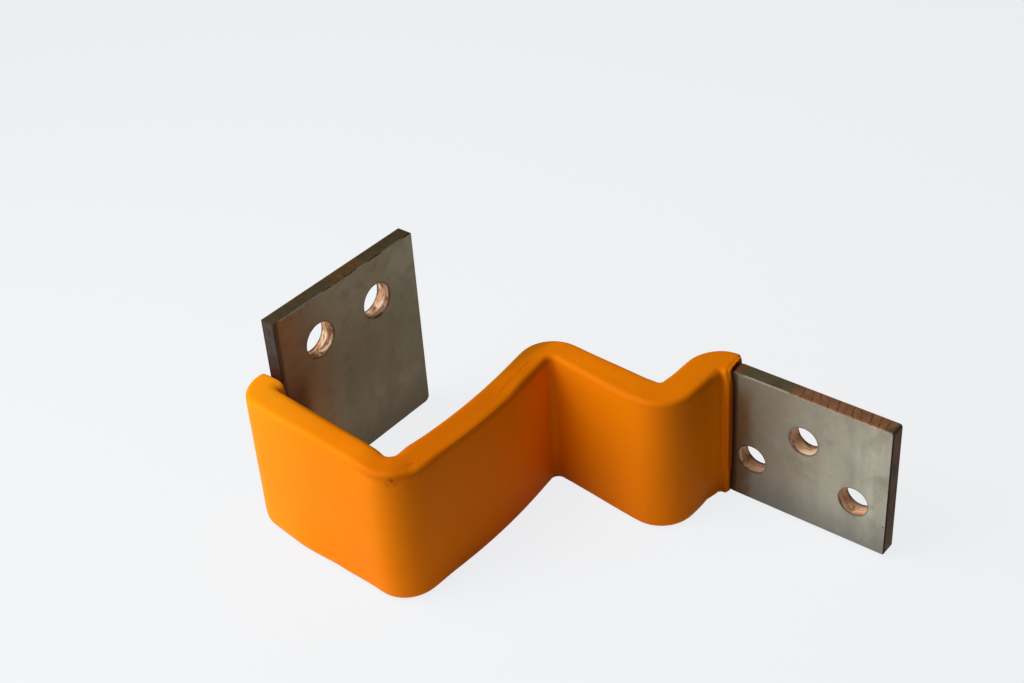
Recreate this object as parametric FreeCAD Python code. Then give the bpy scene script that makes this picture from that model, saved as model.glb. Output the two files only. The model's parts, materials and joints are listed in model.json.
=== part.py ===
import FreeCAD, Part
import math
import os

# Braided busbar: a flat copper braid between two bolted copper palms, in a shrunk-on insulating
# sleeve. The strip stands on edge and is bent in plan, so every piece is a band along one plan
# path, raised along Z. All sizes are millimetres.

# Copper plate and its two palms
plate_thickness = 6.0
palm_height = 50.0
right_palm_length = 57.0
left_palm_length = 67.5
left_palm_height = 72.5
palm_corner_radius = 1.0
left_palm_low_corner_radius = 2.4
plate_edge_break = 0.4

# Bolt holes of the right palm: three in a stagger about the middle of its height
right_hole_diameter = 10.5
right_hole_pitch = 18.8
right_hole_stagger = 16.0
right_hole_end_distance = 12.0

# Bolt holes of the left palm: two in a row near its top edge
left_hole_diameter = 13.0
left_hole_pitch = 28.0
left_hole_end_distance = 20.5
left_hole_top_distance = 17.0

# Plan path: the length of each run between bend corners, and its heading from +X in degrees.
# The middle run is two lengths with a slight turn, which a large radius makes a gentle bow.
mouth_reach = 9.6
run_1_length = 64.2
run_2_length = 40.0
run_3_length = 50.6
run_4_length = 28.6
left_heading = -90.0
run_1_heading = -4.5
run_2a_heading = 85.5
run_2b_heading = 97.0
run_3_heading = -5.0
run_4_heading = 90.0
right_heading = 0.0
bend_radius = 7.0
bow_radius = 220.0

# Braid, its joints to the palms and the sleeve
braid_thickness = 8.4
braid_height = 49.0
braid_edge_bevel = 1.5
shank_grip = 12.0
sleeve_wall = 1.8
sleeve_edge_radius = 3.2
sharpest_fold_radius = 3.0
mouth_edge_bevel = 1.0

# Heights that follow from the sizes above
sleeve_thickness = braid_thickness + 2 * sleeve_wall
sleeve_height = braid_height + 2 * sleeve_wall
middle_height = sleeve_height / 2
palm_bottom = middle_height - palm_height / 2
braid_bottom = sleeve_wall
left_leg_length = left_palm_length + mouth_reach
right_leg_length = right_palm_length + mouth_reach

top_direction = FreeCAD.Vector(0, 0, 1)


# Unit vector in plan for a heading in degrees.
def along(heading):
    angle = math.radians(heading)
    return FreeCAD.Vector(math.cos(angle), math.sin(angle), 0)


# Distance from a bend's corner to where its arc begins.
def bend_tangent(radius, heading_in, heading_out):
    return radius * math.tan(math.radians(abs(heading_out - heading_in)) / 2)


# Corner points of the whole path, from the left palm's free end to the right palm's free end.
def path_corners():
    runs = [
        (left_leg_length, left_heading),
        (run_1_length, run_1_heading),
        (run_2_length, run_2a_heading),
        (run_2_length, run_2b_heading),
        (run_3_length, run_3_heading),
        (run_4_length, run_4_heading),
        (right_leg_length, right_heading),
    ]
    corners = [FreeCAD.Vector(0, 0, 0)]
    for length, heading in runs:
        corners.append(corners[-1] + along(heading) * length)
    return corners


# One side of a band: the path's corners moved sideways, with each corner rounded. A side offset is
# positive to the left of the path. The inside of a bend too tight to round folds to a sharp crease.
def band_side(points, radii, offset):
    steps = [(b - a).normalize() for a, b in zip(points, points[1:])]
    normals = [top_direction.cross(step) for step in steps]
    edges = []
    previous = points[0] + normals[0] * offset
    for i, radius in enumerate(radii):
        shared = 1 + normals[i].dot(normals[i + 1])
        corner = points[i + 1] + (normals[i] + normals[i + 1]) * (offset / shared)
        turn = steps[i].getAngle(steps[i + 1])
        turns_left = steps[i].cross(steps[i + 1]).z > 0
        inside = offset if turns_left else -offset
        side_radius = radius - inside
        if side_radius < sharpest_fold_radius:
            edges.append(Part.makeLine(previous, corner))
            previous = corner
            continue
        reach = side_radius * math.tan(turn / 2)
        start = corner - steps[i] * reach
        end = corner + steps[i + 1] * reach
        towards_centre = (steps[i + 1] - steps[i]).normalize()
        middle = corner + towards_centre * (side_radius / math.cos(turn / 2) - side_radius)
        edges.append(Part.makeLine(previous, start))
        edges.append(Part.Arc(start, middle, end).toShape())
        previous = end
    last = points[-1] + normals[-1] * offset
    edges.append(Part.makeLine(previous, last))
    return edges, points[0] + normals[0] * offset, last


# A band of the given thickness along the path points, raised from bottom by height.
def band(points, radii, thickness, bottom, height):
    left_edges, left_start, left_end = band_side(points, radii, thickness / 2)
    right_edges, right_start, right_end = band_side(points, radii, -thickness / 2)
    caps = [Part.makeLine(left_end, right_end), Part.makeLine(right_start, left_start)]
    outline = Part.Wire(Part.__sortEdges__(left_edges + right_edges + caps))
    face = Part.Face(outline)
    face.translate(top_direction * bottom)
    return face.extrude(top_direction * height)


# The long top and bottom edges of a band, without those of its two end caps.
def long_edges(solid, points):
    low = solid.BoundBox.ZMin
    high = solid.BoundBox.ZMax
    tolerance = 1e-4
    chosen = []
    for edge in solid.Edges:
        heights = [vertex.Z for vertex in edge.Vertexes]
        on_top = min(heights) > high - tolerance
        on_bottom = max(heights) < low + tolerance
        middle = edge.CenterOfMass
        flat_middle = FreeCAD.Vector(middle.x, middle.y, 0)
        on_cap = min((flat_middle - points[0]).Length, (flat_middle - points[-1]).Length) < tolerance
        if (on_top or on_bottom) and not on_cap:
            chosen.append(edge)
    return chosen


# The edges round both end caps of a band.
def cap_edges(solid, points):
    tolerance = 1e-3
    chosen = []
    for face in solid.Faces:
        middle = face.CenterOfMass
        flat_middle = FreeCAD.Vector(middle.x, middle.y, 0)
        if min((flat_middle - points[0]).Length, (flat_middle - points[-1]).Length) < tolerance:
            chosen += face.Edges
    return chosen


# A flat palm of plate. It is drawn in its own side view, with u from the sleeve's mouth to the
# free end and v up, then stood on the path: mouth is where u is 0, and direction is along u.
# Its free corners are rounded and the edges of both faces are broken all round.
def palm(mouth, direction, length, bottom, height, holes, hole_diameter, low_corner_radius):
    tolerance = 1e-4
    normal = direction.cross(top_direction)
    back = mouth - normal * (plate_thickness / 2)

    def at(u, v):
        return back + direction * u + top_direction * v

    top = bottom + height
    outline = [at(0, bottom), at(length, bottom), at(length, top), at(0, top)]
    plate = Part.Face(Part.makePolygon(outline + outline[:1])).extrude(normal * plate_thickness)
    for low, radius in ((True, low_corner_radius), (False, palm_corner_radius)):
        corners = []
        for edge in plate.Edges:
            span = edge.Vertexes[1].Point - edge.Vertexes[0].Point
            middle = edge.CenterOfMass
            far = (middle - mouth).dot(direction) > length / 2
            below = middle.z < bottom + height / 2
            if far and below == low and span.cross(normal).Length < tolerance:
                corners.append(edge)
        plate = plate.makeFillet(radius, corners)
    rims = []
    for edge in plate.Edges:
        depth = abs((edge.CenterOfMass - mouth).dot(normal))
        if abs(depth - plate_thickness / 2) < tolerance:
            rims.append(edge)
    plate = plate.makeChamfer(plate_edge_break, rims)
    for u, v in holes:
        drill = Part.makeCylinder(hole_diameter / 2, plate_thickness, at(u, v), normal)
        plate = plate.cut(drill)
    return plate


corners = path_corners()
bend_radii = [bend_radius, bend_radius, bow_radius, bend_radius, bend_radius, bend_radius]
left_mouth = corners[0] + along(left_heading) * left_palm_length
right_mouth = corners[-1] - along(right_heading) * right_palm_length

# The sleeve runs from mouth to mouth. The braid stops one wall short of each mouth.
sleeve_points = [left_mouth] + corners[1:-1] + [right_mouth]
braid_start = left_mouth + along(left_heading) * sleeve_wall
braid_end = right_mouth - along(right_heading) * sleeve_wall
braid_points = [braid_start] + corners[1:-1] + [braid_end]

# Each palm's shank goes round its own bend and is gripped between the braid's two layers. It starts
# inside the palm by the edge break, so that the two join flush.
left_grip = bend_tangent(bend_radius, left_heading, run_1_heading) + shank_grip
right_grip = bend_tangent(bend_radius, run_4_heading, right_heading) + shank_grip
left_shank_start = left_mouth - along(left_heading) * plate_edge_break
left_shank_end = corners[1] + along(run_1_heading) * left_grip
right_shank_start = right_mouth + along(right_heading) * plate_edge_break
right_shank_end = corners[-2] - along(run_4_heading) * right_grip
left_shank_points = [left_shank_start, corners[1], left_shank_end]
right_shank_points = [right_shank_end, corners[-2], right_shank_start]
left_shank = band(left_shank_points, [bend_radius], plate_thickness, braid_bottom, braid_height)
right_shank = band(right_shank_points, [bend_radius], plate_thickness, braid_bottom, braid_height)

# Left palm, with its row of two holes. The seam with the shank is kept, here and on the right, so
# that each palm's contact face is a face of its own that ends clear of the sleeve.
left_row = palm_bottom + left_palm_height - left_hole_top_distance
left_far_hole = left_palm_length - left_hole_end_distance
left_holes = [(left_far_hole - left_hole_pitch, left_row), (left_far_hole, left_row)]
left_palm = palm(left_mouth, -along(left_heading), left_palm_length, palm_bottom, left_palm_height,
                 left_holes, left_hole_diameter, left_palm_low_corner_radius)
left_terminal = left_palm.fuse(left_shank)

# Right palm, with its three staggered holes
right_far_hole = right_palm_length - right_hole_end_distance
half_stagger = right_hole_stagger / 2
right_holes = [
    (right_far_hole, middle_height - half_stagger),
    (right_far_hole - right_hole_pitch, middle_height + half_stagger),
    (right_far_hole - 2 * right_hole_pitch, middle_height - half_stagger),
]
right_palm = palm(right_mouth, along(right_heading), right_palm_length, palm_bottom, palm_height,
                  right_holes, right_hole_diameter, palm_corner_radius)
right_terminal = right_palm.fuse(right_shank)

# Braid: a flat band with bevelled edges, slotted at both ends for the shanks
braid_band = band(braid_points, bend_radii, braid_thickness, braid_bottom, braid_height)
braid_body = braid_band.makeChamfer(braid_edge_bevel, long_edges(braid_band, braid_points))
braid = braid_body.cut(left_shank).cut(right_shank)

# Sleeve: a rounded tube shrunk on the braid, which closes on the plates at its two mouths
sleeve_band = band(sleeve_points, bend_radii, sleeve_thickness, 0, sleeve_height)
sleeve_body = sleeve_band.makeFillet(sleeve_edge_radius, long_edges(sleeve_band, sleeve_points))
sleeve_body = sleeve_body.makeChamfer(mouth_edge_bevel, cap_edges(sleeve_body, sleeve_points))
sleeve = sleeve_body.cut(braid_body).cut(left_shank).cut(right_shank)

# The origin is under the middle of the whole part, on the surface that it stands on.
pieces = {
    "left_terminal": left_terminal,
    "right_terminal": right_terminal,
    "copper_braid": braid,
    "insulating_sleeve": sleeve,
}
box = Part.makeCompound(list(pieces.values())).optimalBoundingBox(False, False)
to_origin = FreeCAD.Vector(-box.Center.x, -box.Center.y, -box.ZMin)
os.makedirs("parts", exist_ok=True)
for name, shape in pieces.items():
    solid = shape.Solids[0]
    solid.translate(to_origin)
    solid.exportStep("parts/" + name + ".step")
    print(name, "solids", len(shape.Solids), "volume", round(solid.Volume), "valid", solid.isValid())
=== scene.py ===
import json
import math

import bmesh
import bpy
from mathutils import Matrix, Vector


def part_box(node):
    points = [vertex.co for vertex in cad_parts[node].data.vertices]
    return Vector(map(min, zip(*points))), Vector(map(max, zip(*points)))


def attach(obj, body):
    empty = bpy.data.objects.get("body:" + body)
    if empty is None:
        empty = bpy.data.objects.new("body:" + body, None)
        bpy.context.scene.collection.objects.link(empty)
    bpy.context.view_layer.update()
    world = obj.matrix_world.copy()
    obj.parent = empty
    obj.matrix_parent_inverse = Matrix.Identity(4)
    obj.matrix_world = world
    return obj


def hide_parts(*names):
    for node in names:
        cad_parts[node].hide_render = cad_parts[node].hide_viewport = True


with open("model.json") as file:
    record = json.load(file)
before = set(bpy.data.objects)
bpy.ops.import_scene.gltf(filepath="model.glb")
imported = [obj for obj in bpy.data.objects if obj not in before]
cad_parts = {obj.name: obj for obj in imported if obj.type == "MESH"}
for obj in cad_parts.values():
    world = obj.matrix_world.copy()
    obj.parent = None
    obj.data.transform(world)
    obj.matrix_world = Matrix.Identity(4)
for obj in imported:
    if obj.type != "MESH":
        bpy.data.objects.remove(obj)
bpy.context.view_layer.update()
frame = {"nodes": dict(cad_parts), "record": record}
print("frame loaded:", ", ".join(sorted(frame["nodes"])))
mm = 0.001


# selecting by place in edit mode, as clicks would do by hand
def editOnly(obj):
    bpy.ops.object.select_all(action="DESELECT")
    obj.select_set(True)
    bpy.context.view_layer.objects.active = obj
    bpy.ops.object.mode_set(mode="EDIT")


def pickEdges(obj, wanted):
    bpy.ops.mesh.select_mode(type="EDGE")
    bpy.ops.mesh.select_all(action="DESELECT")
    mesh = bmesh.from_edit_mesh(obj.data)
    for edge in mesh.edges:
        if wanted(edge):
            edge.select_set(True)
    bmesh.update_edit_mesh(obj.data)


def pickVerts(obj, wanted):
    bpy.ops.mesh.select_mode(type="VERT")
    bpy.ops.mesh.select_all(action="DESELECT")
    mesh = bmesh.from_edit_mesh(obj.data)
    for vert in mesh.verts:
        if wanted(vert.co):
            vert.select_set(True)
    bmesh.update_edit_mesh(obj.data)


# The sleeve is one tube that walks from mouth to mouth: forward along a run, then round a bend.
sleeveShape = {
    "thickness": 12.0 * mm,
    "height": 52.6 * mm,
    "topRadius": 2.0 * mm,        # of the section's corners
    "bottomRadius": 2.8 * mm,
    "edgeSegments": 4,
    "sideCuts": 11,               # across the tall sides of the section
    "topCuts": 2,                 # across its top and bottom
    "wall": 1.6 * mm,
    "ringStep": 4.0 * mm,         # between rings on a straight run
    "bendRadius": 7.0 * mm,
    "bendSteps": 8,
    "bowRadius": 220 * mm,
    "bowSteps": 11,
    "leftPalmLength": 67.5 * mm,
    "mouthReach": 9.6 * mm,
    # length, heading, and the share of the thickness that the leg comes to: the middle runs are slimmer
    "legs": [
        (64.2 * mm, -4.5, 0.94),
        (40.0 * mm, 85.5, 0.84),
        (40.0 * mm, 97, 0.84),
        (50.6 * mm, -5, 1),
        (28.6 * mm, 90, 1),
    ],
    "leftHeading": -90,
    "rightHeading": 0,
    # how the tube closes on the plate at each mouth, in millimetres: step outwards, then its thickness, top and bottom
    "leftLip": [(0.5, 11.8, 52.4, 0.3), (0.4, 11.3, 52.2, 0.4), (0.2, 10.4, 51.95, 0.6), (0.0, 9.2, 51.7, 0.8),
                (-0.15, 8.0, 51.5, 0.95), (-0.4, 7.0, 51.4, 1.1), (-0.6, 6.4, 51.35, 1.2), (-0.6, 6.2, 51.3, 1.25)],
    "rightLip": [(0.45, 10.9, 52.4, 0.1), (0.4, 10.1, 52.35, 0.3), (0.35, 9.5, 52.4, 0.5), (0.25, 9.0, 52.3, 0.7),
                 (0.1, 8.4, 52.05, 0.85), (0.0, 7.7, 51.7, 1.0), (-0.05, 7.0, 51.35, 1.1), (-0.05, 6.2, 51.0, 1.25)],
    "lipLength": 1.9 * mm,
    "innerShort": 1.7 * mm,       # where the inside wall starts behind a mouth
    "ringSlack": 0.25 * mm,       # how far the points of an end ring may lie off its plane
    "touch": 1e-6,                # metres, for points that lie on one line
}


def along(heading):
    return Vector((math.cos(math.radians(heading)), math.sin(math.radians(heading)), 0))


def addSection(name, centre, thickness, height, topRadius, bottomRadius):
    bpy.ops.object.select_all(action="DESELECT")
    bpy.ops.mesh.primitive_plane_add(size=1, location=centre, rotation=(math.radians(90), 0, 0))
    tube = bpy.context.object
    tube.name = name
    tube.scale = (thickness, height, 1)
    bpy.ops.object.transform_apply(location=True, rotation=True, scale=True)
    editOnly(tube)
    touch = sleeveShape["touch"]
    for radius, side in ((topRadius, 1), (bottomRadius, -1)):
        pickVerts(tube, lambda place: (place.z - centre.z) * side > height / 2 - touch)
        bpy.ops.mesh.bevel(offset=radius, segments=sleeveShape["edgeSegments"], affect="VERTICES")
    bpy.ops.mesh.select_all(action="SELECT")
    bpy.ops.mesh.delete(type="ONLY_FACE")
    pickEdges(tube, lambda edge: edge.calc_length() > height / 2)
    bpy.ops.mesh.subdivide(number_cuts=sleeveShape["sideCuts"])
    top = centre.z + height / 2 - touch
    bottom = centre.z - height / 2 + touch
    pickEdges(tube, lambda edge: all(v.co.z > top for v in edge.verts) or all(v.co.z < bottom for v in edge.verts))
    bpy.ops.mesh.subdivide(number_cuts=sleeveShape["topCuts"])
    bpy.ops.mesh.select_mode(type="EDGE")
    bpy.ops.mesh.select_all(action="SELECT")
    return tube


def easedShare(share, nextShare, part):
    return share + (nextShare - share) * part ** 2 * (3 - 2 * part)


# Draws the open ring forward, and thins or thickens it on the way from one share to the next.
def walkForward(place, length, heading, share, nextShare):
    steps = max(1, round(length / sleeveShape["ringStep"]))
    stride = along(heading) * (length / steps)
    alongX = abs(stride.x) > abs(stride.y)
    for i in range(1, steps + 1):
        bpy.ops.mesh.extrude_edges_move(TRANSFORM_OT_translate={"value": stride})
        if nextShare != share:
            across = easedShare(share, nextShare, i / steps) / easedShare(share, nextShare, (i - 1) / steps)
            bpy.ops.transform.resize(value=(1 if alongX else across, across if alongX else 1, 1),
                                     center_override=place + stride * i)


def walkRound(place, heading, turn, radius, steps):
    centre = place + along(heading + math.copysign(90, turn)) * radius
    bpy.ops.mesh.spin(steps=steps, angle=-math.radians(turn), center=centre, axis=(0, 0, 1))


# Draws a tube along all the legs. Both ends stop short of the mouths by the given length. Only the skin slims.
def addTube(name, mouth, thickness, height, topRadius, bottomRadius, short, slims):
    shape = sleeveShape
    start = mouth + along(shape["leftHeading"]) * short
    tube = addSection(name, start, thickness, height, topRadius, bottomRadius)
    endLeg = shape["mouthReach"] - short
    legs = [(endLeg, shape["leftHeading"], 1)] + shape["legs"] + [(endLeg, shape["rightHeading"], 1)]
    place = start.copy()
    turned = 0                    # how much of the leg the last bend took
    share = 1
    for (length, heading, legShare), following in zip(legs, legs[1:] + [None]):
        turn = following[1] - heading if following else 0
        bow = abs(turn) < 45
        radius = shape["bowRadius"] if bow else shape["bendRadius"]
        taken = radius * math.tan(math.radians(abs(turn)) / 2)
        straight = length - turned - taken
        nextShare = legShare if slims else 1
        walkForward(place, straight, heading, share, nextShare)
        share = nextShare
        place += along(heading) * straight
        if following:
            walkRound(place, heading, turn, radius, shape["bowSteps" if bow else "bendSteps"])
            place += (along(heading) + along(following[1])) * taken
        turned = taken
    return tube, start, place


def onRing(place, centre, outward):
    away = place - centre
    return abs(away.dot(outward)) < sleeveShape["ringSlack"] and away.length < sleeveShape["height"]


def onOpenEnd(edge, rings, outward):
    return edge.is_boundary and any(all(onRing(v.co, ring, outward) for v in edge.verts) for ring in rings)


# Rolls an open end of the tube over and in to the plate, ring by ring.
def addLip(tube, rows, ringCentre, heading, thickness, top, bottom):
    outward = along(heading)
    pickEdges(tube, lambda edge: onOpenEnd(edge, [ringCentre], outward))
    alongX = abs(outward.x) > abs(outward.y)
    for row in rows:
        step, nextThickness, nextTop, nextBottom = [length * mm for length in row]
        move = outward * step
        move.z = (nextTop + nextBottom - top - bottom) / 2
        ringCentre = ringCentre + move
        bpy.ops.mesh.extrude_edges_move(TRANSFORM_OT_translate={"value": move})
        across = nextThickness / thickness
        upright = (nextTop - nextBottom) / (top - bottom)
        bpy.ops.transform.resize(value=(1 if alongX else across, across if alongX else 1, upright),
                                 center_override=ringCentre)
        thickness, top, bottom = nextThickness, nextTop, nextBottom
    return ringCentre


def addSleeve():
    shape = sleeveShape
    sleeveLow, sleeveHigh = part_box("insulating_sleeve")
    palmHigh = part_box("left_terminal")[1]
    thickness, height, wall = shape["thickness"], shape["height"], shape["wall"]
    middle = (sleeveLow.z + sleeveHigh.z) / 2
    mouth = Vector((sleeveLow.x + thickness / 2, palmHigh.y - shape["leftPalmLength"], middle))
    sleeve, leftRing, rightRing = addTube("sleeve", mouth, thickness, height, shape["topRadius"],
                                          shape["bottomRadius"], shape["lipLength"], True)
    leftEnd = addLip(sleeve, shape["leftLip"], leftRing, shape["leftHeading"] + 180,
                     thickness, sleeveHigh.z, sleeveLow.z)
    rightEnd = addLip(sleeve, shape["rightLip"], rightRing, shape["rightHeading"],
                      thickness, sleeveHigh.z, sleeveLow.z)
    bpy.ops.object.mode_set(mode="OBJECT")
    print("sleeve skin", len(sleeve.data.polygons), "faces")

    # the inner wall is a second, thinner tube, bridged to the lips
    inner, leftInner, rightInner = addTube("sleeveInside", mouth, thickness - 2 * wall, height - 2 * wall,
                                           shape["topRadius"] - wall, shape["bottomRadius"] - wall,
                                           shape["innerShort"], False)
    bpy.ops.object.mode_set(mode="OBJECT")
    bpy.ops.object.select_all(action="DESELECT")
    inner.select_set(True)
    sleeve.select_set(True)
    bpy.context.view_layer.objects.active = sleeve
    bpy.ops.object.join()
    editOnly(sleeve)
    for rings, heading in (((leftEnd, leftInner), shape["leftHeading"]),
                           ((rightEnd, rightInner), shape["rightHeading"])):
        outward = along(heading)
        pickEdges(sleeve, lambda edge: onOpenEnd(edge, rings, outward))
        bpy.ops.mesh.bridge_edge_loops()
    bpy.ops.mesh.select_all(action="SELECT")
    bpy.ops.mesh.normals_make_consistent(inside=False)
    bpy.ops.object.mode_set(mode="OBJECT")
    finer = sleeve.modifiers.new("finer", "SUBSURF")
    finer.levels = 1
    finer.render_levels = 1
    bpy.ops.object.modifier_apply(modifier=finer.name)
    bpy.ops.object.shade_smooth()
    return sleeve


sleeve = addSleeve()
print("sleeve", len(sleeve.data.polygons), "faces")


# dents and swellings pressed into the finished tube, in millimetres: a spot, or a line to a second spot,
# then how far it moves and the reach around it
sleeveDents = [
    # pinch at the front fold
    {"spot": (-20.95, -54.57, 49.3), "move": (-0.15, 0.22, -0.12), "reach": 1.6},
    # first run: it swells low down, leans in under its top edge and rounds off at the back
    {"spot": (-66.0, -55.2, 3.0), "move": (0.0, -0.9, 0.0), "reach": 17.0},
    {"spot": (-34.0, -57.2, 3.0), "move": (0.0, 0.5, 0.0), "reach": 14.0},
    {"spot": (-80.0, -53.7, 51.0), "to": (-32.0, -57.3, 51.0), "move": (0.0, 0.40, 0.05), "reach": 8.0},
    {"spot": (-56.0, -55.6, 51.0), "move": (0.0, 0.20, 0.05), "reach": 9.0},
    {"spot": (-78.0, -41.8, 52.2), "to": (-36.0, -45.1, 52.2), "move": (0.0, -0.25, -0.35), "reach": 4.0},
    # hollow inside the first bend, and the left mouth drawn in
    {"spot": (-81.0, -40.5, 52.0), "move": (-0.3, 0.0, -0.8), "reach": 4.5},
    {"spot": (-80.6, -38.8, 6.0), "to": (-80.6, -38.8, 50.0), "move": (-1.0, 0.0, -0.05), "reach": 8.0},
    # tight inside of the front fold
    {"spot": (-34.0, -45.6, 52.3), "move": (0.0, -0.35, -0.35), "reach": 6.0},
    {"spot": (-29.8, -45.8, 52.3), "move": (0.2, -0.8, -0.45), "reach": 5.0},
    {"spot": (-27.6, -43.6, 52.3), "move": (0.35, -0.3, -0.3), "reach": 4.5},
    # the middle run slopes outwards, and the third run to its front
    {"spot": (-16.2, -48.0, 52.0), "to": (-15.2, 0.0, 52.0), "move": (-0.15, 0.0, -1.3), "reach": 9.0},
    {"spot": (-10.0, 20.8, 52.2), "to": (12.0, 18.6, 52.2), "move": (0.0, 0.0, -0.45), "reach": 7.0},
    # fuller inside of the fourth bend
    {"spot": (20.4, 29.6, 50.0), "move": (-0.45, 0.5, 0.15), "reach": 7.0},
    # the right mouth flares, and leans back at its foot and its top
    {"spot": (32.6, 44.9, 0.5), "to": (32.6, 44.9, 49.0), "move": (1.25, 0.3, 0.0), "reach": 5.0},
    {"spot": (35.5, 47.0, 2.0), "move": (-0.8, 0.0, 0.0), "reach": 15.0},
    {"spot": (35.3, 51.6, 52.2), "move": (-0.3, 0.0, 0.0), "reach": 15.0},
    {"spot": (35.0, 56.5, 50.0), "move": (-1.0, -0.1, 0.0), "reach": 14.0},
    # wrinkles behind the front fold
    {"spot": (-20.8, -45.5, 52.4), "move": (0.0, 0.0, -0.25), "reach": 2.6},
    {"spot": (-18.6, -47.4, 52.0), "move": (0.0, 0.0, -0.2), "reach": 2.2},
]
dentLineWidth = 1.1 * mm
dentSpotWidth = 1e-7              # metres, so that only the nearest point is taken


def nearLine(place, spot, line):
    share = min(1, max(0, (place - spot).dot(line) / line.length_squared))
    return (place - spot - line * share).length < dentLineWidth


def pressDents(obj):
    editOnly(obj)
    for dent in sleeveDents:
        spot = Vector(dent["spot"]) * mm
        if "to" in dent:
            line = Vector(dent["to"]) * mm - spot
            pickVerts(obj, lambda place: nearLine(place, spot, line))
        else:
            mesh = bmesh.from_edit_mesh(obj.data)
            nearest = min(mesh.verts, key=lambda vert: (vert.co - spot).length).co.copy()
            pickVerts(obj, lambda place: (place - nearest).length < dentSpotWidth)
        bpy.ops.transform.translate(value=Vector(dent["move"]) * mm, use_proportional_edit=True,
                                    proportional_edit_falloff="SMOOTH", proportional_size=dent["reach"] * mm,
                                    use_proportional_connected=True)
    bpy.ops.object.mode_set(mode="OBJECT")


pressDents(sleeve)
print("sleeve dents", len(sleeveDents))


# camera at the photo's angle, for a 1024 by 683 frame
cameraPlace = {
    "eye": (267.08 * mm, -327.17 * mm, 377.76 * mm),
    "turn": (54.663, 3.427, 38.412),
    "lens": 59.437,
    "sensor": 36,
    "clipStart": 0.01,
}


def addCamera():
    camera = bpy.data.cameras.new("photoCamera")
    camera.lens = cameraPlace["lens"]
    camera.sensor_width = cameraPlace["sensor"]
    camera.sensor_fit = "HORIZONTAL"
    camera.clip_start = cameraPlace["clipStart"]
    holder = bpy.data.objects.new("photoCamera", camera)
    holder.location = cameraPlace["eye"]
    holder.rotation_euler = [math.radians(angle) for angle in cameraPlace["turn"]]
    bpy.context.scene.collection.objects.link(holder)
    bpy.context.scene.camera = holder


addCamera()
print("camera at", cameraPlace["eye"])


# node helpers: a number, a colour or a socket may feed any input
def feed(tree, value, socket):
    if isinstance(value, bpy.types.NodeSocket):
        tree.links.new(value, socket)
    else:
        socket.default_value = value


def calc(tree, operation, *values):
    node = tree.nodes.new("ShaderNodeMath")
    node.operation = operation
    for value, socket in zip(values, node.inputs):
        feed(tree, value, socket)
    return node.outputs[0]


def fade(tree, value, start, end):          # 0 at the start, 1 at the end, eased between
    node = tree.nodes.new("ShaderNodeMapRange")
    node.interpolation_type = "SMOOTHSTEP"
    feed(tree, value, node.inputs["Value"])
    feed(tree, start, node.inputs["From Min"])
    feed(tree, end, node.inputs["From Max"])
    return node.outputs["Result"]


def blendColour(tree, share, first, second, how="MIX"):
    node = tree.nodes.new("ShaderNodeMix")
    node.data_type = "RGBA"
    node.blend_type = how
    feed(tree, share, node.inputs[0])
    feed(tree, first, node.inputs[6])
    feed(tree, second, node.inputs[7])
    return node.outputs[2]


def layOver(tree, colour, tint, mask, share):        # as far as the mask goes, and never past the share
    return blendColour(tree, calc(tree, "MULTIPLY", mask, share), colour, tint)


def useGroup(tree, group, **values):
    node = tree.nodes.new("ShaderNodeGroup")
    node.node_tree = group
    for label, value in values.items():
        feed(tree, value, node.inputs[label])
    return node.outputs


# pale floor and soft studio light
studio = {
    "floorSize": 6.0,
    "floorDrop": 0.0002,                     # keeps the floor off the part's own underside
    "floorGrey": (0.85, 0.85, 0.85, 1),      # what the object and its shadow see
    "background": (0.90, 0.915, 0.93, 1),    # what the camera and the metal see
    "backgroundShare": 0.9,
    "keyFrom": (-0.193, -0.253, 0.524),
    "keySize": 0.45,
    "keyPower": 2.32,
    "frontFrom": (-0.351, -0.478, 0.218),
    "frontSize": 0.36,
    "frontPower": 1.02,
    "lampSpread": 150,                       # degrees, fades the light out before the lamps' own planes
    "aim": (0, 0, 0.03),
    "ambient": 0.02,
}


def addLamp(name, place, size, power):
    lamp = bpy.data.lights.new(name, "AREA")
    lamp.size = size
    lamp.energy = power
    lamp.spread = math.radians(studio["lampSpread"])
    holder = bpy.data.objects.new(name, lamp)
    holder.location = place
    holder.rotation_euler = (Vector(studio["aim"]) - holder.location).to_track_quat("-Z", "Y").to_euler()
    bpy.context.scene.collection.objects.link(holder)


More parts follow.
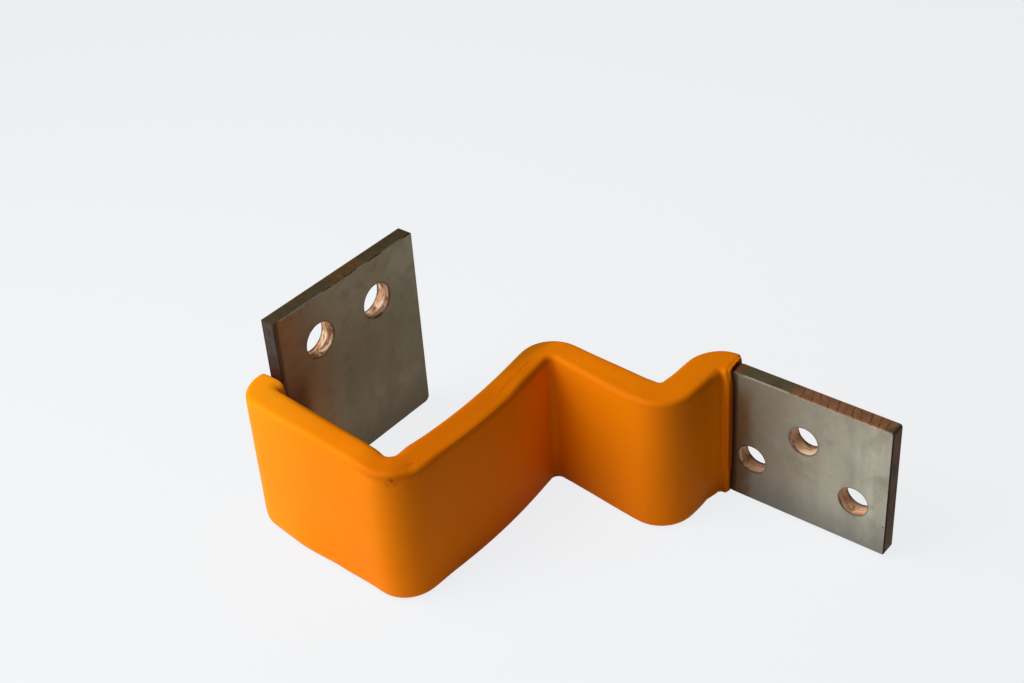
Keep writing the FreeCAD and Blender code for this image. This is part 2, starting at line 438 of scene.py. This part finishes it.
def addStudio():
    scene = bpy.context.scene
    scene.view_settings.view_transform = "Standard"
    bpy.ops.object.select_all(action="DESELECT")
    bpy.ops.mesh.primitive_plane_add(size=studio["floorSize"], location=(0, 0, -studio["floorDrop"]))
    floor = bpy.context.object
    floor.name = "floor"
    material = bpy.data.materials.new("paleFloor")
    material.use_nodes = True
    tree = material.node_tree
    tree.nodes.clear()
    output = tree.nodes.new("ShaderNodeOutputMaterial")
    matte = tree.nodes.new("ShaderNodeBsdfDiffuse")
    matte.inputs["Color"].default_value = studio["floorGrey"]
    glow = tree.nodes.new("ShaderNodeEmission")
    glow.inputs["Color"].default_value = studio["background"]
    rays = tree.nodes.new("ShaderNodeLightPath").outputs
    seen = calc(tree, "MAXIMUM", rays["Is Camera Ray"], rays["Is Glossy Ray"])
    seen = calc(tree, "MAXIMUM", seen, rays["Is Transmission Ray"])
    mix = tree.nodes.new("ShaderNodeMixShader")
    tree.links.new(calc(tree, "MULTIPLY", seen, studio["backgroundShare"]), mix.inputs[0])
    tree.links.new(matte.outputs[0], mix.inputs[1])
    tree.links.new(glow.outputs[0], mix.inputs[2])
    tree.links.new(mix.outputs[0], output.inputs["Surface"])
    floor.data.materials.append(material)

    addLamp("key", studio["keyFrom"], studio["keySize"], studio["keyPower"])
    addLamp("front", studio["frontFrom"], studio["frontSize"], studio["frontPower"])
    world = bpy.data.worlds.new("studio")
    world.use_nodes = True
    scene.world = world
    sky = world.node_tree.nodes["Background"]
    sky.inputs["Color"].default_value = (1, 1, 1, 1)
    sky.inputs["Strength"].default_value = studio["ambient"]


addStudio()
print("floor, lamps and world")


def startGroup(name, inputs, outputs):
    tree = bpy.data.node_groups.new(name, "ShaderNodeTree")
    for label, kind, value in inputs:
        socket = tree.interface.new_socket(label, in_out="INPUT", socket_type="NodeSocket" + kind)
        if value is not None:
            socket.default_value = value
    for label in outputs:
        tree.interface.new_socket(label, in_out="OUTPUT", socket_type="NodeSocketFloat")
    return tree, tree.nodes.new("NodeGroupInput").outputs, tree.nodes.new("NodeGroupOutput").inputs


# soft cloudy patches, from 0 to 1
def makeClouds():
    tree, given, result = startGroup("clouds", [("Vector", "Vector", None), ("Scale", "Float", 100.0),
                                                ("Detail", "Float", 3.0), ("Twist", "Float", 0.0)], ["Value"])
    noise = tree.nodes.new("ShaderNodeTexNoise")
    for label, socket in (("Vector", "Vector"), ("Scale", "Scale"), ("Detail", "Detail"), ("Twist", "Distortion")):
        tree.links.new(given[label], noise.inputs[socket])
    spread = tree.nodes.new("ShaderNodeMapRange")
    tree.links.new(noise.outputs[0], spread.inputs["Value"])
    spread.inputs["From Min"].default_value = 0.3
    spread.inputs["From Max"].default_value = 0.7
    tree.links.new(spread.outputs["Result"], result["Value"])
    return tree


# scattered small marks: only a share of the cells holds one
def makeSpecks():
    tree, given, result = startGroup("specks", [("Vector", "Vector", None), ("Scale", "Float", 200.0),
                                                ("Size", "Float", 0.15), ("Share", "Float", 0.3)], ["Mask"])
    cells = tree.nodes.new("ShaderNodeTexVoronoi")
    tree.links.new(given["Vector"], cells.inputs["Vector"])
    tree.links.new(given["Scale"], cells.inputs["Scale"])
    parts = tree.nodes.new("ShaderNodeSeparateColor")
    tree.links.new(cells.outputs["Color"], parts.inputs[0])
    chosen = calc(tree, "LESS_THAN", parts.outputs[0], given["Share"])
    size = calc(tree, "MULTIPLY", given["Size"], calc(tree, "ADD", parts.outputs[1], 0.4))
    spot = fade(tree, cells.outputs["Distance"], size, calc(tree, "MULTIPLY", size, 0.45))
    tree.links.new(calc(tree, "MULTIPLY", chosen, spot), result["Mask"])
    return tree


# fine unevenness of a surface, for a bump
def makeGrain():
    tree, given, result = startGroup("fineGrain", [("Vector", "Vector", None), ("Scale", "Float", 1200.0)], ["Height"])
    noise = tree.nodes.new("ShaderNodeTexNoise")
    noise.inputs["Detail"].default_value = 4
    tree.links.new(given["Vector"], noise.inputs["Vector"])
    tree.links.new(given["Scale"], noise.inputs["Scale"])
    tree.links.new(noise.outputs[0], result["Height"])
    return tree


# wall and rim of one drilled hole, from the distance to its axis in millimetres
def makeHole():
    tree, given, result = startGroup("drilledHole", [("Along", "Float", 0.0), ("Up", "Float", 0.0),
                                                     ("HoleAlong", "Float", 0.0), ("HoleUp", "Float", 0.0),
                                                     ("Radius", "Float", 5.0)], ["Wall", "Rim"])
    sideways = calc(tree, "SUBTRACT", given["Along"], given["HoleAlong"])
    upwards = calc(tree, "SUBTRACT", given["Up"], given["HoleUp"])
    away = calc(tree, "SQRT", calc(tree, "ADD", calc(tree, "MULTIPLY", sideways, sideways),
                                   calc(tree, "MULTIPLY", upwards, upwards)))
    past = calc(tree, "SUBTRACT", away, given["Radius"])
    tree.links.new(fade(tree, past, 0.10, 0.03), result["Wall"])
    tree.links.new(fade(tree, past, 0.55, 0.15), result["Rim"])
    return tree


clouds = makeClouds()
specks = makeSpecks()
fineGrain = makeGrain()
drilledHole = makeHole()


def startMaterial(name):
    material = bpy.data.materials.new(name)
    material.use_nodes = True
    tree = material.node_tree
    shader = tree.nodes["Principled BSDF"]
    place = tree.nodes.new("ShaderNodeTexCoord").outputs["Object"]
    return material, tree, shader, place


def addBump(tree, shader, height, distance):
    bump = tree.nodes.new("ShaderNodeBump")
    bump.inputs["Distance"].default_value = distance
    bump.inputs["Strength"].default_value = 1.0
    feed(tree, height, bump.inputs["Height"])
    tree.links.new(bump.outputs["Normal"], shader.inputs["Normal"])


# Coordinates in millimetres along a mark: x along it, y across it, z up, all from its start.
def markPlace(tree, place, start, end):
    turn = tree.nodes.new("ShaderNodeMapping")
    turn.vector_type = "TEXTURE"
    tree.links.new(place, turn.inputs["Vector"])
    turn.inputs["Location"].default_value = Vector(start) * mm
    turn.inputs["Rotation"].default_value = (0, 0, math.atan2(end[1] - start[1], end[0] - start[0]))
    turn.inputs["Scale"].default_value = (mm, mm, mm)
    parts = tree.nodes.new("ShaderNodeSeparateXYZ")
    tree.links.new(turn.outputs[0], parts.inputs[0])
    return parts.outputs


# satin orange sleeve
sleeveFinish = {
    "orange": (0.90, 0.228, 0.002, 1),
    "yellower": (0.93, 0.268, 0.003, 1),
    "yellowerShare": 0.55,
    "redder": (0.83, 0.185, 0.002, 1),
    "redderShare": 0.16,
    # tints that fade in along an axis, between the two places given in millimetres
    "zones": [
        {"colour": (0.94, 0.320, 0.007, 1), "share": 0.8, "X": (-45, -90)},            # left end: painted light, yellower where the light falls stronger
        {"colour": (0.87, 0.205, 0.001, 1), "share": 0.6, "X": (-36, -12)},            # right of the front fold: painted shade, redder like the shaded sides there
        {"colour": (0.69, 0.158, 0.001, 1), "share": 0.9, "X": (-40, -26), "Y": (28, 8),
         "Z": (48.5, 51.5)},                                                           # painted shade: darker top of the middle run
        {"colour": (0.24, 0.034, 0.004, 1), "share": 0.85, "X": (35.0, 35.6)},         # painted shadow on the right mouth's end
    ],
    "backEdgeShadow": (0.50, 0.140, 0.001, 1),         # painted shadow along the first run's back edge, under the tall palm
    "backEdgeShadowLine": ((-82.0, -41.82, 52.6), (-26.0, -46.23, 52.6)),
    "backEdgeShadowAcross": (-3.4, -1.0),              # millimetres from the line, and below it
    "backEdgeShadowDown": (-3.5, -1.0),
    "backEdgeShadowEnds": (0.3, 0.1),                  # shares of its length
    "soilAndCreaseShade": (0.34, 0.055, 0.002, 1),           # soil in the pinch, and painted shade in the folds
    "roughness": (0.40, 0.52),
    "specular": 0.025,
    "bumpDepth": 0.25 * mm,
    # hairline folds: start, end, half width and depth in millimetres
    "folds": [((-19.76, -5.53, 52.4), (-22.4, 18.4, 52.4), 0.5, 0.05),
              ((-21.4, -49.0, 52.3), (-19.3, -41.8, 52.3), 0.8, 0.045)],
    "foldDown": (-2.5, -1.0),
    "foldEnds": (0.2, 0.2),
    "foldShade": 6.0,                          # how dark a fold is for its depth
    "pinch": (-20.95, -54.57, 49.4),
    "pinchReach": (2.7 * mm, 0.5 * mm),
    "pinchShare": 0.9,
}


# 1 along the middle of a mark, fading out over a share of its length at each end
def markEnds(tree, mark, start, end, startShare, endShare):
    length = (Vector(end) - Vector(start)).length
    return calc(tree, "MULTIPLY", fade(tree, mark["X"], 0.0, length * startShare),
                fade(tree, mark["X"], length, length * (1 - endShare)))


def addSleeveFinish():
    finish = sleeveFinish
    material, tree, shader, place = startMaterial("orangeSleeve")
    broad = useGroup(tree, clouds, Vector=place, Scale=22.0, Detail=2.0, Twist=0.4)["Value"]
    fine = useGroup(tree, clouds, Vector=place, Scale=130.0, Detail=4.0)["Value"]
    colour = layOver(tree, finish["orange"], finish["yellower"], broad, finish["yellowerShare"])
    colour = layOver(tree, colour, finish["redder"], fine, finish["redderShare"])
    parts = tree.nodes.new("ShaderNodeSeparateXYZ")
    tree.links.new(place, parts.inputs[0])
    for zone in finish["zones"]:
        mask = zone["share"]
        for axis in "XYZ":
            if axis in zone:
                comes, full = zone[axis]
                mask = calc(tree, "MULTIPLY", mask, fade(tree, parts.outputs[axis], comes * mm, full * mm))
        colour = blendColour(tree, mask, colour, zone["colour"])
    # painted shadow along the first run's back edge
    start, end = finish["backEdgeShadowLine"]
    mark = markPlace(tree, place, start, end)
    backEdgeShadow = calc(tree, "MULTIPLY", fade(tree, mark["Y"], *finish["backEdgeShadowAcross"]),
                  fade(tree, mark["Z"], *finish["backEdgeShadowDown"]))
    backEdgeShadow = calc(tree, "MULTIPLY", backEdgeShadow, markEnds(tree, mark, start, end, *finish["backEdgeShadowEnds"]))
    colour = blendColour(tree, backEdgeShadow, colour, finish["backEdgeShadow"])
    folded = 0.0
    for start, end, width, depth in finish["folds"]:
        mark = markPlace(tree, place, start, end)
        wander = calc(tree, "MULTIPLY", calc(tree, "SUBTRACT", fine, 0.5), 0.5)
        across = calc(tree, "ABSOLUTE", calc(tree, "ADD", mark["Y"], wander))
        line = fade(tree, across, width, width * 0.2)
        line = calc(tree, "MULTIPLY", line, markEnds(tree, mark, start, end, *finish["foldEnds"]))
        line = calc(tree, "MULTIPLY", line, fade(tree, mark["Z"], *finish["foldDown"]))
        folded = calc(tree, "MAXIMUM", folded, calc(tree, "MULTIPLY", line, depth * finish["foldShade"]))
    away = tree.nodes.new("ShaderNodeVectorMath")
    away.operation = "DISTANCE"
    tree.links.new(place, away.inputs[0])
    away.inputs[1].default_value = Vector(finish["pinch"]) * mm
    uneven = useGroup(tree, clouds, Vector=place, Scale=520.0, Detail=2.0)["Value"]
    pinch = fade(tree, away.outputs["Value"], *finish["pinchReach"])
    pinch = calc(tree, "MULTIPLY", pinch, fade(tree, uneven, 0.15, 0.85))
    colour = layOver(tree, colour, finish["soilAndCreaseShade"], pinch, finish["pinchShare"])
    # painted shade darkening the hairline folds
    colour = layOver(tree, colour, finish["soilAndCreaseShade"], folded, fade(tree, uneven, 0.1, 0.6))
    tree.links.new(colour, shader.inputs["Base Color"])
    rough = tree.nodes.new("ShaderNodeMapRange")
    feed(tree, fine, rough.inputs["Value"])
    rough.inputs["To Min"].default_value, rough.inputs["To Max"].default_value = finish["roughness"]
    tree.links.new(rough.outputs["Result"], shader.inputs["Roughness"])
    grain = useGroup(tree, fineGrain, Vector=place, Scale=900.0)["Height"]
    height = calc(tree, "SUBTRACT", calc(tree, "MULTIPLY", grain, 0.12), calc(tree, "MULTIPLY", folded, 0.4))
    height = calc(tree, "ADD", height, calc(tree, "MULTIPLY", broad, 0.5))
    addBump(tree, shader, height, finish["bumpDepth"])
    shader.inputs["Specular IOR Level"].default_value = finish["specular"]
    return material


# dull plating on the two palms, with bare copper where it was cut and drilled; all places in millimetres
leftPlate = {
    "node": "left_terminal",
    "material": "leftPlating",
    "holes": "left_",
    "across": "X",
    "along": "Y",
    "middle": -86.637,            # across
    "thickness": 6.0,
    "from": -37.5,                # along, where the palm leaves the sleeve
    "paler": (-36.0, -6.0),       # the stretch over which it grows paler
    "top": 73.8,
    "sleeveTop": 52.6,
    # near: a painted reflection of the orange sleeve, brownish beside it, fading over the paler stretch
    "near": (0.380, 0.195, 0.055, 1),
    "far": (0.255, 0.238, 0.155, 1),
    "smudge": (0.175, 0.155, 0.090, 1),
    "smudgeShare": 0.35,
    "bloom": (0.360, 0.350, 0.240, 1),
    "upper": (0.420, 0.408, 0.280, 1),
    "lowBand": (0.130, 0.110, 0.062, 1),
    "stain": (0.185, 0.086, 0.030, 1),         # beside the sleeve
    "stainReach": 14.0,
    "topEdge": (0.072, 0.050, 0.025, 1),
    "topBare": (0.110, 0.058, 0.022, 1),
    "bareSpan": (-11.0, -6.0, 2.0, 9.0),       # where bare metal comes and goes along the top edge
    "endEdge": (0.050, 0.036, 0.026, 1),
    "endBare": (0.080, 0.058, 0.048, 1),
    "wornSpan": (-34.0, 24.0),
    "hole": (0.74, 0.44, 0.25, 1),
    "holeDark": (0.28, 0.13, 0.065, 1),
    "holeHighlight": (0.97, 0.82, 0.64, 1),
}
rightPlate = {
    "node": "right_terminal",
    "material": "rightPlating",
    "holes": "right_",
    "across": "Y",
    "along": "X",
    "middle": 51.62,
    "thickness": 6.0,
    "from": 35.6,
    "paler": (46.0, 92.6),
    "top": 51.3,
    "sleeveTop": 52.6,
    "near": (0.285, 0.245, 0.182, 1),
    "far": (0.600, 0.580, 0.465, 1),
    "smudge": (0.225, 0.185, 0.135, 1),
    "smudgeShare": 0.45,
    "bloom": (0.330, 0.320, 0.255, 1),
    "upper": (0.330, 0.270, 0.190, 1),
    "lowBand": (0.145, 0.150, 0.143, 1),
    "stain": (0.205, 0.110, 0.044, 1),
    "stainReach": 8.5,
    "topEdge": (0.120, 0.095, 0.050, 1),
    "topBare": (0.290, 0.135, 0.064, 1),
    "bareSpan": (54.0, 60.0, 89.5, 92.0),
    "endEdge": (0.058, 0.030, 0.012, 1),
    "endBare": (0.185, 0.078, 0.028, 1),
    "wornSpan": (36.0, 60.0),
    "hole": (0.95, 0.62, 0.40, 1),
    "holeDark": (0.52, 0.28, 0.15, 1),
    "holeHighlight": (0.95, 0.72, 0.54, 1),
}
plateWear = {
    "dark": (0.035, 0.020, 0.010, 1),
    "worn": (0.34, 0.30, 0.24, 1),
    "markPitch": 3.0,             # between shear marks on a cut edge, in millimetres
    "metallic": 0.4,
    "roughness": 0.46,
    "specular": 0.06,
    "reflectionAndShadow": (0.190, 0.075, 0.040, 1),         # painted reflection of the orange sleeve on the top edges right beside it
    "shadowAndGrime": (0.060, 0.018, 0.010, 1),         # painted shadow with some grime, on the faces there and on the cut ends
    "bloomRise": (40.0, 66.0),    # heights over which the bloom, the upper tone and the low band come in
    "upperRise": (38.0, 68.0),
    "lowFall": (18.0, 2.0),
    "shadowAndGrimeReach": (2.2, 0.8),     # from the sleeve
    "reflectionAndShadowReach": (2.8, 1.2),
    "reflectionAndShadowRise": (4.5, 1.5),      # above the sleeve's top
    "stainRise": (1.0, -14.0),
    "faceRim": (0.10, 0.04),      # below the face, where the edge break starts
    "breakRim": (0.50, 0.36),     # and where it ends
    "holeDraw": 2.4,              # how far the marks in a hole are drawn out round it
    "bumpDepth": 0.08 * mm,
    # how strongly each layer shows
    "shares": {"bloom": 0.5, "upper": 0.8, "lowBand": 0.6, "patches": 0.3, "stain": 0.9, "shadowAndGrime": 0.7, "dots": 0.75,
               "fine": 0.3, "marks": 0.5, "cutFine": 0.5, "worn": 0.65, "reflectionAndShadow": 0.85, "rim": 0.45, "scores": 0.6,
               "lip": 0.75},
}


def addPlateFinish(plate):
    wear, shares = plateWear, plateWear["shares"]
    material, tree, shader, place = startMaterial(plate["material"])
    scaled = tree.nodes.new("ShaderNodeMapping")
    scaled.inputs["Scale"].default_value = (1 / mm, 1 / mm, 1 / mm)
    tree.links.new(place, scaled.inputs["Vector"])
    parts = tree.nodes.new("ShaderNodeSeparateXYZ")
    tree.links.new(scaled.outputs[0], parts.inputs[0])
    sideways = calc(tree, "SUBTRACT", parts.outputs[plate["across"]], plate["middle"])
    away = calc(tree, "ABSOLUTE", sideways)
    reach = parts.outputs[plate["along"]]
    up = parts.outputs["Z"]
    half = plate["thickness"] / 2
    onFace = fade(tree, away, *[half - depth for depth in wear["faceRim"]])
    onBreak = fade(tree, away, *[half - depth for depth in wear["breakRim"]])
    offFace = calc(tree, "SUBTRACT", 1.0, onFace)
    onBreak = calc(tree, "MULTIPLY", onBreak, offFace)
    broad = useGroup(tree, clouds, Vector=place, Scale=45.0, Detail=5.0, Twist=0.8)["Value"]
    patches = useGroup(tree, clouds, Vector=place, Scale=110.0, Detail=5.0, Twist=0.6)["Value"]
    fine = useGroup(tree, clouds, Vector=place, Scale=330.0, Detail=5.0)["Value"]
    upright = tree.nodes.new("ShaderNodeMapping")
    upright.inputs["Scale"].default_value = (1, 1, 0.13)
    tree.links.new(place, upright.inputs["Vector"])
    streaks = useGroup(tree, clouds, Vector=upright.outputs[0], Scale=130.0, Detail=4.0, Twist=0.3)["Value"]

    # flat faces: a slow change from sleeve to free end, which on the left palm is a painted reflection of the orange
    # sleeve, upright smudges, bloom, a paler top, a cooler foot, a stain and painted shadow with some grime at the
    # sleeve, specks
    colour = blendColour(tree, fade(tree, reach, *plate["paler"]), plate["near"], plate["far"])
    colour = layOver(tree, colour, plate["smudge"], streaks, plate["smudgeShare"])
    bloom = calc(tree, "MULTIPLY", fade(tree, up, *wear["bloomRise"]), broad)
    bloom = calc(tree, "MAXIMUM", fade(tree, broad, 0.45, 1.0), bloom)
    colour = layOver(tree, colour, plate["bloom"], bloom, shares["bloom"])
    upper = calc(tree, "MULTIPLY", fade(tree, up, *wear["upperRise"]), fade(tree, reach, *plate["paler"]))
    colour = layOver(tree, colour, plate["upper"], upper, shares["upper"])
    colour = layOver(tree, colour, plate["lowBand"], fade(tree, up, *wear["lowFall"]), shares["lowBand"])
    colour = layOver(tree, colour, plate["smudge"], fade(tree, patches, 0.5, 0.9), shares["patches"])
    gone = calc(tree, "SUBTRACT", reach, plate["from"])
    ragged = calc(tree, "ADD", gone, calc(tree, "MULTIPLY", calc(tree, "SUBTRACT", patches, 0.5), 4.0))
    stain = fade(tree, ragged, plate["stainReach"], plate["stainReach"] * 0.4)
    stain = calc(tree, "MULTIPLY", stain, fade(tree, up, *[plate["sleeveTop"] + rise for rise in wear["stainRise"]]))
    colour = layOver(tree, colour, plate["stain"], stain, shares["stain"])
    # painted shadow with some grime on the faces right beside the sleeve
    colour = layOver(tree, colour, wear["shadowAndGrime"], fade(tree, gone, *wear["shadowAndGrimeReach"]), shares["shadowAndGrime"])
    dots = useGroup(tree, specks, Vector=place, Scale=230.0, Size=0.17, Share=0.10)["Mask"]
    dots = calc(tree, "MULTIPLY", dots, fade(tree, broad, 0.25, 0.6))
    colour = layOver(tree, colour, wear["dark"], dots, shares["dots"])
    shade = blendColour(tree, fine, (0.70, 0.70, 0.70, 1), (1, 1, 1, 1))
    colour = blendColour(tree, shares["fine"], colour, shade, "MULTIPLY")

    # cut edges: dull on top with a bare stretch, ends of their own colour, slanting shear marks, a worn line on the
    # edge break, and beside the sleeve a painted reflection of the orange sleeve on the top edges and painted shadow
    # with some grime on the others
    onTop = fade(tree, up, plate["top"] - 0.9, plate["top"] - 0.5)
    comes, bareFrom, bareTo, leaves = plate["bareSpan"]
    wandering = calc(tree, "ADD", reach, calc(tree, "MULTIPLY", calc(tree, "SUBTRACT", patches, 0.5), 5.0))
    bare = calc(tree, "MULTIPLY", fade(tree, wandering, comes, bareFrom), fade(tree, wandering, leaves, bareTo))
    top = blendColour(tree, bare, plate["topEdge"], plate["topBare"])
    core = calc(tree, "MULTIPLY", fade(tree, away, half - 0.5, half - 1.5), fade(tree, patches, 0.2, 0.7))
    ends = blendColour(tree, core, plate["endEdge"], plate["endBare"])
    cut = blendColour(tree, onTop, ends, top)
    slant = calc(tree, "ADD", calc(tree, "ADD", reach, up), calc(tree, "MULTIPLY", sideways, 0.25))
    slant = calc(tree, "ADD", slant, calc(tree, "MULTIPLY", patches, 2.2))
    marks = calc(tree, "SINE", calc(tree, "MULTIPLY", slant, 2 * math.pi / wear["markPitch"]))
    marks = calc(tree, "MULTIPLY", fade(tree, marks, 0.55, 0.98), fade(tree, fine, 0.2, 0.6))
    marks = calc(tree, "MULTIPLY", marks, bare)
    cut = layOver(tree, cut, wear["dark"], marks, shares["marks"])
    shade = blendColour(tree, fine, (0.6, 0.6, 0.6, 1), (1.25, 1.25, 1.25, 1))
    cut = blendColour(tree, shares["cutFine"], cut, shade, "MULTIPLY")
    wornStart, wornEnd = plate["wornSpan"]
    worn = calc(tree, "MULTIPLY", fade(tree, reach, wornStart - 2, wornStart), fade(tree, reach, wornEnd + 6, wornEnd))
    worn = calc(tree, "MULTIPLY", calc(tree, "MULTIPLY", worn, onBreak), fade(tree, streaks, 0.35, 0.6))
    cut = layOver(tree, cut, wear["worn"], worn, shares["worn"])
    # beside the sleeve: painted reflection on the top edges, painted shadow on the others
    beside = fade(tree, up, *[plate["sleeveTop"] + rise for rise in wear["reflectionAndShadowRise"]])
    beside = calc(tree, "MULTIPLY", fade(tree, gone, *wear["reflectionAndShadowReach"]), beside)
    reflectionAndShadow = blendColour(tree, onTop, wear["shadowAndGrime"], wear["reflectionAndShadow"])
    cut = layOver(tree, cut, reflectionAndShadow, beside, shares["reflectionAndShadow"])
    colour = blendColour(tree, onFace, cut, colour)

    # drilled walls: bare copper with painted highlights and dark blotches drawn out round the hole, and painted shade
    # as a dark ring at the rim
    wall = 0.0
    rim = 0.0
    for mount in frame["record"]["mounts"]:
        if mount["kind"] != "bore" or not mount["name"].startswith(plate["holes"]):
            continue
        spot = dict(zip("XYZ", mount["pos_m"]))
        hole = useGroup(tree, drilledHole, Along=reach, Up=up, HoleAlong=spot[plate["along"]] / mm,
                        HoleUp=spot["Z"] / mm, Radius=mount["dims"]["r_mm"])
        wall = calc(tree, "MAXIMUM", wall, hole["Wall"])
        rim = calc(tree, "MAXIMUM", rim, hole["Rim"])
    # painted shade: a dark ring round each hole's rim
    colour = layOver(tree, colour, wear["dark"], rim, shares["rim"])
    drawn = tree.nodes.new("ShaderNodeMapping")
    draw = wear["holeDraw"]
    drawn.inputs["Scale"].default_value = (draw, 1, 1) if plate["across"] == "X" else (1, draw, 1)
    tree.links.new(place, drawn.inputs["Vector"])
    blotches = useGroup(tree, clouds, Vector=drawn.outputs[0], Scale=170.0, Detail=3.0, Twist=1.2)["Value"]
    scores = useGroup(tree, clouds, Vector=drawn.outputs[0], Scale=480.0, Detail=5.0, Twist=0.5)["Value"]
    drilled = blendColour(tree, fade(tree, blotches, 0.55, 0.15), plate["hole"], plate["holeDark"])
    # painted highlights on the drilled walls
    drilled = blendColour(tree, fade(tree, blotches, 0.62, 0.85), drilled, plate["holeHighlight"])
    drilled = layOver(tree, drilled, plate["holeDark"], fade(tree, scores, 0.7, 0.95), shares["scores"])
    lipDark = fade(tree, calc(tree, "ADD", away, calc(tree, "MULTIPLY", fine, 0.8)), half - 0.45, half + 0.15)
    drilled = layOver(tree, drilled, wear["dark"], lipDark, shares["lip"])
    colour = blendColour(tree, wall, colour, drilled)
    tree.links.new(colour, shader.inputs["Base Color"])

    dull = calc(tree, "MAXIMUM", wall, calc(tree, "MAXIMUM", stain, offFace))
    metal = calc(tree, "SUBTRACT", wear["metallic"], calc(tree, "MULTIPLY", dull, 0.3))
    tree.links.new(metal, shader.inputs["Metallic"])
    shader.inputs["Specular IOR Level"].default_value = wear["specular"]
    rough = calc(tree, "ADD", wear["roughness"], calc(tree, "MULTIPLY", broad, 0.14))
    rough = calc(tree, "ADD", rough, calc(tree, "MULTIPLY", dots, 0.2))
    tree.links.new(rough, shader.inputs["Roughness"])
    grain = useGroup(tree, fineGrain, Vector=place, Scale=1500.0)["Height"]
    height = calc(tree, "ADD", calc(tree, "MULTIPLY", grain, 0.25), calc(tree, "MULTIPLY", streaks, 0.2))
    height = calc(tree, "SUBTRACT", height, calc(tree, "MULTIPLY", dots, 0.6))
    edgeMarks = calc(tree, "MULTIPLY", marks, offFace)
    height = calc(tree, "SUBTRACT", height, calc(tree, "MULTIPLY", edgeMarks, 0.6))
    height = calc(tree, "ADD", height, calc(tree, "MULTIPLY", calc(tree, "MULTIPLY", blotches, wall), 1.2))
    addBump(tree, shader, height, wear["bumpDepth"])
    return material


# woven copper wire inside the sleeve
braidFinish = {
    "copper": (0.60, 0.28, 0.16, 1),
    "shade": (0.20, 0.075, 0.035, 1),
    "wirePitch": 1.6 * mm,
    "bumpDepth": 0.4 * mm,
}


def addBraidFinish():
    finish = braidFinish
    material, tree, shader, place = startMaterial("braidedCopper")
    parts = tree.nodes.new("ShaderNodeSeparateXYZ")
    tree.links.new(place, parts.inputs[0])
    flat = calc(tree, "ADD", parts.outputs["X"], parts.outputs["Y"])
    turns = 2 * math.pi / finish["wirePitch"]
    rising = calc(tree, "SINE", calc(tree, "MULTIPLY", calc(tree, "ADD", flat, parts.outputs["Z"]), turns))
    falling = calc(tree, "SINE", calc(tree, "MULTIPLY", calc(tree, "SUBTRACT", flat, parts.outputs["Z"]), turns))
    weave = calc(tree, "MULTIPLY", calc(tree, "ADD", calc(tree, "MULTIPLY", rising, falling), 1.0), 0.5)
    fine = useGroup(tree, clouds, Vector=place, Scale=300.0, Detail=3.0)["Value"]
    colour = blendColour(tree, weave, finish["shade"], finish["copper"])
    colour = layOver(tree, colour, finish["shade"], fine, 0.3)
    tree.links.new(colour, shader.inputs["Base Color"])
    shader.inputs["Metallic"].default_value = 1.0
    rough = calc(tree, "ADD", 0.30, calc(tree, "MULTIPLY", fine, 0.15))
    tree.links.new(rough, shader.inputs["Roughness"])
    grain = useGroup(tree, fineGrain, Vector=place, Scale=2200.0)["Height"]
    addBump(tree, shader, calc(tree, "ADD", weave, calc(tree, "MULTIPLY", grain, 0.2)), finish["bumpDepth"])
    return material


def dressNode(name, material):
    for slot in frame["nodes"][name].material_slots:
        slot.material = material


sleeve.data.materials.append(addSleeveFinish())
dressNode(leftPlate["node"], addPlateFinish(leftPlate))
dressNode(rightPlate["node"], addPlateFinish(rightPlate))
dressNode("copper_braid", addBraidFinish())
print("materials", len(bpy.data.materials), "groups", len(bpy.data.node_groups))

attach(sleeve, "root")
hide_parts("insulating_sleeve")
